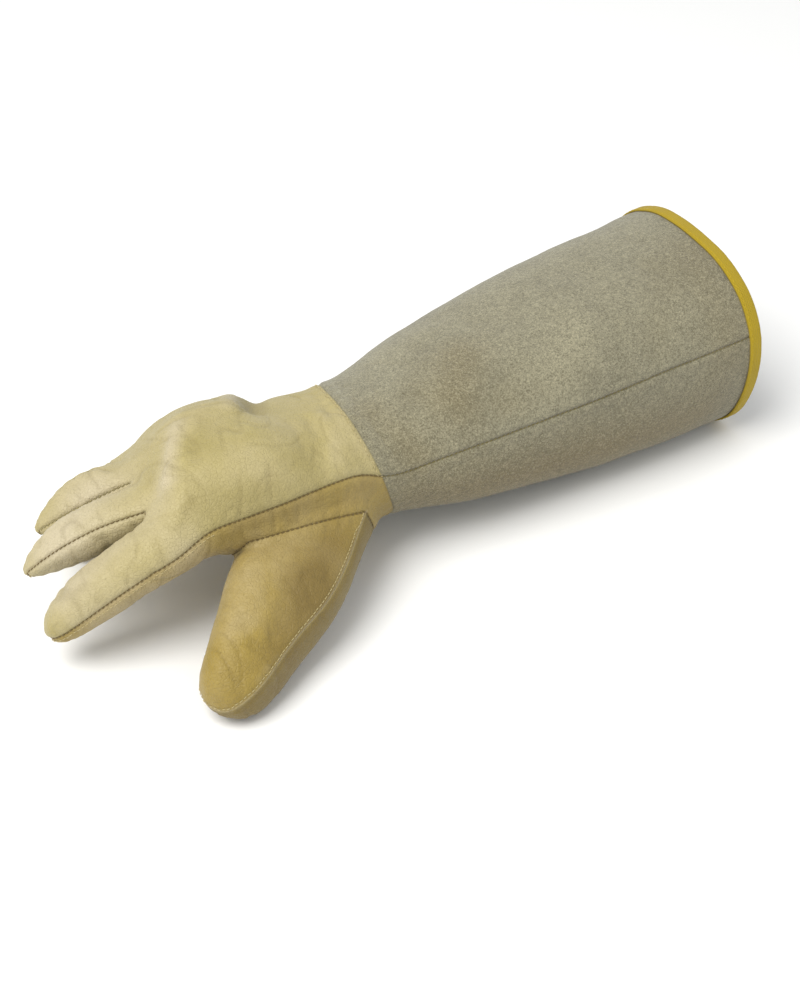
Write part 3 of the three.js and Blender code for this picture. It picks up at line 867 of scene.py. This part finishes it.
def split_leather(name, colours):
    """Brushed split leather: dark and light fibres over uneven dye, with painted shade in its seams, hollows
    and creases, and the tone table's painted light and shade.
    """
    material, tree, shader, place = start_material(name, 0.95, 0.25)
    if tree is None:
        return material
    own, dark, brown, olive = (
        linear(colour) for colour in (colours.suede, colours.suede_dark, colours.umber, colours.olive)
    )
    pale = shade_of(own, 1.7)
    mottle = place_group(
        tree, mottle_group, "leather_mottle", Vector=place, Cloud_Scale=18.0, Patch_Scale=110.0
    )
    nap = place_group(tree, nap_group, "split_nap", Vector=place)
    light_and_tone_marks = place_group(tree, shade_highlight_and_tone_group, "seam_wear", Width=1.3)
    # The pale colour paints light on the cuff's upper side besides its light fibres; umber paints shade on its
    # lower side, olive shade in seams, hollows and creases.
    body = lay_over(tree, own, (
        (mottle["Cloud"], 0.24, dark), (mottle["Patch"], 0.12, dark), (light_and_tone_marks["Pale"], 0.3, pale),
        (light_and_tone_marks["Deep"], 0.8, brown), (nap["Light"], 0.52, pale), (nap["Dark"], 0.66, dark),
        (light_and_tone_marks["Shade"], 0.75, olive),
    ))
    fill(tree, shader.inputs["Base Color"], body)
    add_bump(tree, shader, nap["Height"], 0.0006)
    return material


def woven_tape(name, colours):
    """Ribs across the tape and yarns along it, read from the tape's own map in millimetres."""
    material, tree, shader, place = start_material(name, 0.8, 0.08)
    if tree is None:
        return material
    surface = add_node(tree, "ShaderNodeUVMap", uv_map="tape").outputs["UV"]
    across = add_node(tree, "ShaderNodeSeparateXYZ", Vector=surface).outputs["Y"]
    ribs = add_node(tree, "ShaderNodeTexWave", Vector=surface, Scale=0.42, Distortion=0.4, Detail=1.0)
    yarns = add_node(
        tree, "ShaderNodeTexWave", Vector=surface, Scale=0.28, Distortion=0.4, bands_direction="Y"
    )
    mottle = place_group(tree, mottle_group, "leather_mottle", Vector=place, Cloud_Scale=40.0)
    weave = share_of(tree, ribs.outputs["Fac"], yarns.outputs["Fac"])
    own = linear(colours.mustard)
    deep = shade_of(own, 0.55)
    body = lay_over(tree, own, (
        (math_node(tree, "SUBTRACT", 1.0, weave), 0.45, deep),
        (span(tree, across, 4.2, 1.0), 0.8, linear(colours.amber)),
        (mottle["Cloud"], 0.2, deep),
    ))
    fill(tree, shader.inputs["Base Color"], body)
    add_bump(tree, shader, weave, 0.0003)
    return material


def sewing_thread(name, colour):
    """Twisted thread of one colour."""
    material, tree, shader, place = start_material(name, 0.7, 0.2)
    if tree is None:
        return material
    twist = add_node(tree, "ShaderNodeTexWave", Vector=place, Scale=900.0, Distortion=2.0).outputs["Fac"]
    own = linear(colour)
    fill(tree, shader.inputs["Base Color"], lay_over(tree, own, ((twist, 0.5, shade_of(own, 0.6)),)))
    add_bump(tree, shader, twist, 0.0001)
    return material


# A stitch's flat middle as a share of its length, and how far its ends dip and taper as a share of the thread.
STITCH_FLAT, STITCH_DIP, STITCH_TAPER = 0.6, 0.6, 0.7


def model_stitch(thread):
    """One stitch at the origin along X: a thread that rises from its hole, lies flat and dips in again.

    An extrusion numbers its corners by chance, so they are put in order of place.
    """
    deselect()
    half, flat, thick = thread.length / 2 * MM, thread.length * STITCH_FLAT * MM, thread.width * MM
    bpy.ops.mesh.primitive_cylinder_add(
        vertices=6, radius=thick / 2, depth=flat, end_fill_type="NGON", rotation=(0, math.pi / 2, 0)
    )
    stitch = bpy.context.active_object
    bpy.ops.object.transform_apply(location=True, rotation=True, scale=True)
    for side in (-1, 1):
        sheet = bmesh.new()
        sheet.from_mesh(stitch.data)
        for face in sheet.faces:
            face.select_set(face.normal.x * side > 0.9)
        sheet.to_mesh(stitch.data)
        sheet.free()
        bpy.ops.object.mode_set(mode="EDIT")
        bpy.ops.mesh.select_mode(type="FACE")
        bpy.ops.mesh.extrude_region_move(
            TRANSFORM_OT_translate={"value": (side * (half - flat / 2), 0, -STITCH_DIP * thick)}
        )
        bpy.ops.transform.resize(value=(1, STITCH_TAPER, STITCH_TAPER))
        bpy.ops.object.mode_set(mode="OBJECT")
    corners = corner_places(stitch.data)
    order = sorted(range(len(corners)), key=lambda i: tuple(corners[i].round(7)))
    faces = []
    for polygon in stitch.data.polygons:
        face = [order.index(i) for i in polygon.vertices]
        first = face.index(min(face))
        faces.append(face[first:] + face[:first])
    bpy.data.objects.remove(stitch)
    return corners[order], sorted(faces)


def value_at(way, reach, table):
    """A table's row at some way along a run, or between two of its rows."""
    return np.array([np.interp(way, reach, table[:, c]) for c in range(3)])


def sew(name, runs, stitch, pitch, lift, slant):
    """Copies the stitch along each run of places, on their normals. All the copies are one piece."""
    shape, faces = stitch
    corners, quads = [], []
    turn = Matrix.Rotation(slant, 3, "Z")
    for places, normals in runs:
        steps = np.linalg.norm(np.diff(places, axis=0), axis=1)
        reach = np.concatenate([[0.0], np.cumsum(steps)])
        count = int(reach[-1] / pitch)
        for k in range(count):
            way = (k + 0.5) * reach[-1] / count
            up = Vector(value_at(way, reach, normals)).normalized()
            before, after = (value_at(way + side * pitch / 2, reach, places) for side in (-1, 1))
            ahead = Vector(after - before)
            ahead = (ahead - up * ahead.dot(up)).normalized()
            axes = Matrix((ahead, up.cross(ahead), up)).transposed() @ turn
            start = len(corners) * len(shape)
            copy = shape @ np.array(axes).T + value_at(way, reach, places) + np.array(up) * lift
            copy[:, 2] += max(0.0, -copy[:, 2].min())
            corners.append(copy)
            quads += [[start + i for i in face] for face in faces]
    piece = new_object(name, np.concatenate(corners), quads)
    piece.data.polygons.foreach_set("use_smooth", [True] * len(quads))
    return piece


def seam_runs(*kinds):
    """Places and normals along each seam of the given kinds."""
    chains = [chain for pair, chain in SKIN["chains"] if seam_kind(pair) in kinds]
    return [(SKIN["shaped"][chain], SKIN["normals"][chain]) for chain in chains]


def fingerward(runs):
    """The part of each run that lies on a finger."""
    kept = []
    for places, normals in runs:
        on_finger = places[:, 0] < KNUCKLES_X
        if on_finger.sum() > 2:
            kept.append((places[on_finger], normals[on_finger]))
    return kept


def beside(runs, toward, offset):
    """The runs moved sideways over the skin, to the side where the given panel lies."""
    number = PANELS.index(toward)
    own = np.unique(SKIN["faces"][SKIN["panel_of_face"] == number])
    tree = nearest_tree([SKIN["shaped"][i] for i in own])
    moved = []
    for places, normals in runs:
        ahead = np.gradient(places, axis=0)
        side = np.cross(normals, ahead)
        side /= np.maximum(np.linalg.norm(side, axis=1), 1e-12)[:, None]
        tries = [[tree.find(p) for p in places + sign * offset * side] for sign in (1, -1)]
        found = min(tries, key=lambda hits: sum(hit[2] for hit in hits))
        index = own[[hit[1] for hit in found]]
        keep = [0] + [k for k in range(1, len(index)) if index[k] != index[k - 1]]
        index = index[keep]
        moved.append((SKIN["shaped"][index], SKIN["normals"][index]))
    return moved


# The tape's gap over the leather and the roundness of its fold.
TAPE_LIFT, FOLD_ROUNDNESS, FOLD_STEP = 0.2, 0.9, 18
# Its outer side from edge to fold: share of the tape's width, and how far it bulges in millimetres.
TAPE_OUTER = ((1.0, 0.0), (0.66, 0.1), (0.33, 0.05))
TAPE_INNER = (0.33, 0.66, 1.0)
# The row of stitches, as a share of the tape's width from the mouth.
TAPE_ROW = 0.78


def tape_ring(width, tape, over):
    """The tape's closed section in millimetres: along the cuff, and out from the middle of its leather."""
    turn = [math.radians(a) for a in range(90, -91, -FOLD_STEP)]
    path = [(-width * share, over + bulge) for share, bulge in TAPE_OUTER]
    path += [(over * math.cos(a) * FOLD_ROUNDNESS, over * math.sin(a)) for a in turn]
    path += [(-width * share, -over) for share in TAPE_INNER]
    path = np.array(path)
    along = np.gradient(path, axis=0)
    facing = np.stack([-along[:, 1], along[:, 0]], 1)
    facing /= np.linalg.norm(facing, axis=1)[:, None]
    return np.concatenate([path, (path + facing * tape)[::-1]])


def sweep_tape(thread, wall):
    """The tape folded over the mouth, swept round the loop with a map in millimetres, and its stitch line."""
    loop = SKIN["mouth"][:-1]
    places, normals = SKIN["base"][loop], SKIN["normals"][loop]
    ahead = np.roll(places, -1, axis=0) - np.roll(places, 1, axis=0)
    ahead /= np.linalg.norm(ahead, axis=1)[:, None]
    outward = np.cross(ahead, normals)
    if outward[:, 0].mean() < 0:
        outward = -outward
    width, tape, mid = thread.tape_width, thread.tape_wall, wall / 2
    over = mid + TAPE_LIFT
    ring = tape_ring(width, tape, over)
    count, size = len(loop), len(ring)
    corners = (
        places[:, None, :]
        - normals[:, None, :] * mid * MM
        + outward[:, None, :] * ring[None, :, 0, None] * MM
        + normals[:, None, :] * ring[None, :, 1, None] * MM
    ).reshape(-1, 3)
    corners[:, 2] = np.maximum(corners[:, 2], 0.0)
    quads = []
    for here in range(count):
        there = (here + 1) % count
        for k in range(size):
            beside = (k + 1) % size
            quads.append([here * size + k, here * size + beside, there * size + beside, there * size + k])
    tape_piece = new_object("cuff_binding_tape", corners, quads)
    tape_piece.data.polygons.foreach_set("use_smooth", [True] * len(quads))
    reach = np.concatenate([[0.0], np.cumsum(np.linalg.norm(np.diff(ring, axis=0), axis=1))])
    reach = np.append(reach, reach[-1] + tape)
    run = np.concatenate([[0.0], np.cumsum(np.linalg.norm(np.diff(places, axis=0), axis=1))]) / MM
    run = np.append(run, run[-1] + np.linalg.norm(places[0] - places[-1]) / MM)
    uv = tape_piece.data.uv_layers.new(name="tape")
    for i in range(count):
        for k in range(size):
            first = (i * size + k) * 4
            for corner, (a, b) in enumerate(((i, k), (i, k + 1), (i + 1, k + 1), (i + 1, k))):
                uv.data[first + corner].uv = run[a], reach[b]
    make_active(tape_piece)
    bpy.ops.object.mode_set(mode="EDIT")
    bpy.ops.mesh.select_all(action="SELECT")
    bpy.ops.mesh.normals_make_consistent(inside=False)
    bpy.ops.object.mode_set(mode="OBJECT")
    line = places + outward * (-width * TAPE_ROW * MM) + normals * ((over - mid + tape) * MM)
    return tape_piece, (np.vstack([line, line[:1]]), np.vstack([normals, normals[:1]]))


# Sewing, in metres: pitch and lift of the tape's row, lift of the other threads, and each top row's distance
# from its seam. A seam's own stitches lie slanted.
TAPE_PITCH, TAPE_THREAD_LIFT, THREAD_LIFT = 2.8 * MM, 0.1 * MM, 0.3 * MM
THUMB_OFFSET, PALM_OFFSET, WRIST_OFFSET = 1.8 * MM, 1.7 * MM, 1.6 * MM
SLANT = math.radians(14)


class GAUNTLET_OT_hand_panels(bpy.types.Operator):
    """Cut the back and the palm of the hand, each in one piece with its side of the fingers"""

    bl_idname = "gauntlet.hand_panels"
    bl_label = "Hand panels"

    def execute(self, context):
        colours = context.scene.gauntlet_colours
        leathers = [grain_leather(name, colours) for name in ("straw_leather", "golden_leather")]
        cut_panels(context, HAND_PANELS, "grain_leather", leathers)
        return {"FINISHED"}


class GAUNTLET_OT_thumb_panels(bpy.types.Operator):
    """Cut the two sides of the thumb"""

    bl_idname = "gauntlet.thumb_panels"
    bl_label = "Thumb panels"

    def execute(self, context):
        colours = context.scene.gauntlet_colours
        # The thumb's palm side gets the darker copy of the golden leather, as painted shade.
        leathers = [grain_leather(name, colours) for name in ("golden_leather", "tawny_leather")]
        cut_panels(context, THUMB_PANELS, "thumb_leather", leathers)
        return {"FINISHED"}


class GAUNTLET_OT_fourchettes(bpy.types.Operator):
    """Cut the three strips between the fingers"""

    bl_idname = "gauntlet.fourchettes"
    bl_label = "Fourchettes"

    def execute(self, context):
        colours = context.scene.gauntlet_colours
        leathers = [grain_leather("straw_leather", colours)] * len(FOURCHETTES)
        cut_panels(context, FOURCHETTES, "grain_leather", leathers)
        return {"FINISHED"}


class GAUNTLET_OT_cuff_panels(bpy.types.Operator):
    """Cut the two panels of the cuff"""

    bl_idname = "gauntlet.cuff_panels"
    bl_label = "Cuff panels"

    def execute(self, context):
        colours = context.scene.gauntlet_colours
        leathers = [split_leather("cuff_suede", colours)] * len(CUFF_PANELS)
        cut_panels(context, CUFF_PANELS, "split_leather", leathers)
        return {"FINISHED"}


class GAUNTLET_OT_binding(bpy.types.Operator):
    """Fold the tape over the mouth of the cuff and sew it down"""

    bl_idname = "gauntlet.binding"
    bl_label = "Binding"

    def execute(self, context):
        scene = context.scene
        thread, colours = scene.gauntlet_thread, scene.gauntlet_colours
        shape_skin(scene.gauntlet_leather)
        tape, line = sweep_tape(thread, scene.gauntlet_leather.split_wall)
        finish_piece(tape, "binding_tape", woven_tape("mustard_tape", colours), "cuff_binding")
        row = sew("binding_stitches", [line], model_stitch(thread), TAPE_PITCH, TAPE_THREAD_LIFT, 0.0)
        finish_piece(row, "binding_tape", sewing_thread("mustard_thread", colours.mustard))
        return {"FINISHED"}


class GAUNTLET_OT_stitches(bpy.types.Operator):
    """Sew the seams of the hand, the wrist and the cuff"""

    bl_idname = "gauntlet.stitches"
    bl_label = "Stitches"

    def execute(self, context):
        scene = context.scene
        thread, colours = scene.gauntlet_thread, scene.gauntlet_colours
        shape_skin(scene.gauntlet_leather)
        stitch = model_stitch(thread)
        dark = sewing_thread("dark_thread", colours.thread)
        pale = sewing_thread("pale_thread", colours.pale_thread)
        straw = sewing_thread("straw_thread", colours.straw)
        ash = sewing_thread("ash_thread", colours.moss)
        thumb_row = beside(seam_runs("thumb"), "thumb_outer", THUMB_OFFSET)
        palm_row = fingerward(beside(seam_runs("side"), "hand_palm", PALM_OFFSET))
        wrist_row = beside(seam_runs("wrist"), "hand_back", WRIST_OFFSET)
        for name, runs, slant, slot, material in (
            ("side_stitches", seam_runs("side", "finger"), SLANT, "grain_leather", dark),
            ("inner_stitches", seam_runs("inner"), SLANT, "grain_leather", straw),
            ("thumb_stitches", thumb_row, 0.0, "thumb_leather", pale),
            ("root_stitches", seam_runs("root"), SLANT, "thumb_leather", dark),
            ("palm_stitches", palm_row, 0.0, "grain_leather", pale),
            ("wrist_stitches", wrist_row, 0.0, "grain_leather", pale),
            ("cuff_stitches", seam_runs("cuff"), SLANT, "split_leather", ash),
        ):
            row = sew(name, runs, stitch, thread.pitch * MM, THREAD_LIFT, slant)
            finish_piece(row, slot, material)
        return {"FINISHED"}


# The studio, in metres: each area light's place from the middle of the glove and its size.
LIGHTS = {"key": ((-0.85, -0.15, 1.47), 1.1), "fill": ((0.8, -1.4, 1.0), 1.4)}
LIGHT_COLOUR = (1.0, 0.985, 0.96)
SKY_COLOUR = (0.97, 0.985, 1.0, 1.0)
FLOOR_SIZE = 24.0
# How far beside and below the wrist the camera aims.
AIM_RIGHT, AIM_DOWN = 0.0205, 0.0253


class GAUNTLET_OT_stage(bpy.types.Operator):
    """Lay the pale floor, hang the lights and set the camera"""

    bl_idname = "gauntlet.stage"
    bl_label = "Stage"

    def execute(self, context):
        scene = context.scene
        studio = scene.gauntlet_studio
        deselect()
        bpy.ops.mesh.primitive_plane_add(size=FLOOR_SIZE, location=(0, 0, 0))
        floor = context.active_object
        floor.name = "floor"
        paint = bpy.data.materials.new("floor_paint")
        paint.use_nodes = True
        shader = paint.node_tree.nodes["Principled BSDF"]
        shader.inputs["Base Color"].default_value = linear(scene.gauntlet_colours.floor)
        shader.inputs["Roughness"].default_value = 0.9
        floor.data.materials.append(paint)
        world = bpy.data.worlds.new("studio")
        world.use_nodes = True
        background = world.node_tree.nodes["Background"]
        background.inputs["Color"].default_value = SKY_COLOUR
        background.inputs["Strength"].default_value = studio.sky
        scene.world = world
        low, high = cad_box
        centre = (low + high) / 2
        for name, (place, size) in LIGHTS.items():
            lamp = bpy.data.lights.new(name, "AREA")
            lamp.energy = getattr(studio, name)
            lamp.size = size
            lamp.color = LIGHT_COLOUR
            light = bpy.data.objects.new(name, lamp)
            light.location = centre + Vector(place)
            light.rotation_euler = (centre - light.location).to_track_quat("-Z", "Y").to_euler()
            scene.collection.objects.link(light)
        camera = bpy.data.objects.new("camera", bpy.data.cameras.new("camera"))
        camera.data.lens = studio.lens
        a, e = studio.azimuth, studio.elevation
        back = Vector((math.sin(a) * math.cos(e), -math.cos(a) * math.cos(e), math.sin(e)))
        right = Vector((math.cos(a), math.sin(a), 0))
        eye = WRIST + back * studio.distance
        aim = WRIST + right * AIM_RIGHT - back.cross(right) * AIM_DOWN
        camera.location = eye
        camera.rotation_euler = (aim - eye).to_track_quat("-Z", "Y").to_euler()
        scene.collection.objects.link(camera)
        scene.camera = camera
        scene.view_settings.view_transform = "Standard"
        return {"FINISHED"}


class GAUNTLET_PT_panel(bpy.types.Panel):
    """Builds the glove piece by piece"""

    bl_idname = "GAUNTLET_PT_panel"
    bl_label = "Welding Gauntlet"
    bl_space_type = "VIEW_3D"
    bl_region_type = "UI"
    bl_category = "Gauntlet"

    def draw(self, context):
        for operator in OPERATORS:
            self.layout.operator(operator.bl_idname)
        for group in ("leather", "thread", "colours", "studio"):
            settings = getattr(context.scene, "gauntlet_" + group)
            box = self.layout.box()
            for key in settings.__annotations__:
                box.prop(settings, key)


SETTINGS = {
    "gauntlet_leather": GauntletLeather,
    "gauntlet_thread": GauntletThread,
    "gauntlet_colours": GauntletColours,
    "gauntlet_studio": GauntletStudio,
}
OPERATORS = (
    GAUNTLET_OT_hand_panels,
    GAUNTLET_OT_thumb_panels,
    GAUNTLET_OT_fourchettes,
    GAUNTLET_OT_cuff_panels,
    GAUNTLET_OT_binding,
    GAUNTLET_OT_stitches,
    GAUNTLET_OT_stage,
)


def register():
    for cls in (*SETTINGS.values(), *OPERATORS, GAUNTLET_PT_panel):
        bpy.utils.register_class(cls)
    for name, cls in SETTINGS.items():
        setattr(bpy.types.Scene, name, PointerProperty(type=cls))


def unregister():
    for name in SETTINGS:
        delattr(bpy.types.Scene, name)
    for cls in (GAUNTLET_PT_panel, *reversed(OPERATORS), *reversed(SETTINGS.values())):
        bpy.utils.unregister_class(cls)


def main():
    register()
    bpy.ops.gauntlet.hand_panels()
    bpy.ops.gauntlet.thumb_panels()
    bpy.ops.gauntlet.fourchettes()
    bpy.ops.gauntlet.cuff_panels()
    bpy.ops.gauntlet.binding()
    bpy.ops.gauntlet.stitches()
    bpy.ops.gauntlet.stage()
    bpy.context.view_layer.update()


if __name__ == "__main__":
    main()
